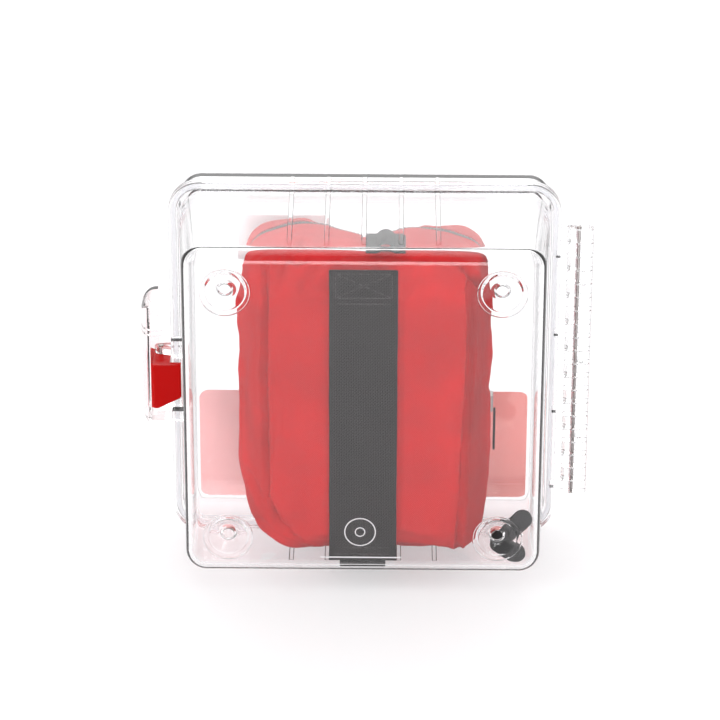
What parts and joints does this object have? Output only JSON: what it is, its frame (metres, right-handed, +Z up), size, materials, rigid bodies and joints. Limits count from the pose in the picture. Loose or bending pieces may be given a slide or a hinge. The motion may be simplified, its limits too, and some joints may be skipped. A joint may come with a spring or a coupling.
{
  "type": "wall-mounted bleeding control case with strapped pouch and tourniquet",
  "caption": "Clear hinged wall case with a side latch, holding a strapped nylon pouch with a folded windlass tourniquet and dressings inside.",
  "frame": {"origin": "middle of the rear shell's flat wall face, which is also the middle of its four screw holes", "axes": "+X from the latch side to the hinge side, +Y away from the wall towards the front cover, +Z up"},
  "size_m": [0.2582, 0.102, 0.222],
  "materials": {
    "clear_polycarbonate": "polished clear polycarbonate",
    "silicone": "translucent silicone",
    "steel": "drawn stainless steel",
    "red_plastic": "glossy moulded red plastic",
    "red_vinyl": "printed red vinyl film",
    "pale_vinyl": "printed pale vinyl film",
    "red_nylon": "woven red nylon",
    "dark_webbing": "woven dark grey nylon webbing",
    "black_fabric": "black nylon",
    "black_plastic": "moulded black plastic",
    "dressing_wrap": "sealed dressing wrapper"
  },
  "bodies": {
    "case": {"rear_shell": "clear_polycarbonate", "pouch_body": "red_nylon", "pouch_lid": "red_nylon", "pouch_zip": "black_fabric", "back_strap": "dark_webbing", "strap_tail": "dark_webbing", "carry_handle": "dark_webbing", "hook_loop_tie": "black_fabric", "tourniquet_band": "black_fabric", "tourniquet_plate": "black_plastic", "tourniquet_buckle": "black_plastic", "windlass_clip": "black_plastic", "windlass_strap": "dressing_wrap", "gauze_pack": "dressing_wrap", "dressing_pack": "dressing_wrap", "gloves_pack": "dressing_wrap"},
    "cover": {"front_cover": "clear_polycarbonate", "cover_gasket": "silicone", "hinge_pin": "steel", "latch_pin": "steel", "front_label": "red_vinyl", "corner_label": "pale_vinyl"},
    "latch": {"latch_lever": "clear_polycarbonate", "latch_hook": "red_plastic"},
    "zip": {"zip_slider": "steel", "zip_pull": "black_fabric"},
    "windlass": {"windlass_rod": "black_plastic", "tension_ribbon": "black_fabric"}
  },
  "joints": [
    {"name": "cover_hinge", "type": "hinge", "parent": "case", "child": "cover", "pos_m": [0.1213, 0.0743, 0], "axis": [0, 0, -1], "range_deg": [0, 165]},
    {"name": "latch_pivot", "type": "hinge", "parent": "cover", "child": "latch", "pos_m": [-0.1175, 0.083, 0], "axis": [0, 0, -1], "range_deg": [0, 50]},
    {"name": "zip_travel", "type": "slide", "parent": "case", "child": "zip", "axis": [0, 0, 1], "range_m": [-0.03, 0.08]},
    {"name": "windlass_turn", "type": "hinge", "parent": "case", "child": "windlass", "pos_m": [0, 0.0406, 0], "axis": [0, 1, 0], "continuous": true}
  ]
}
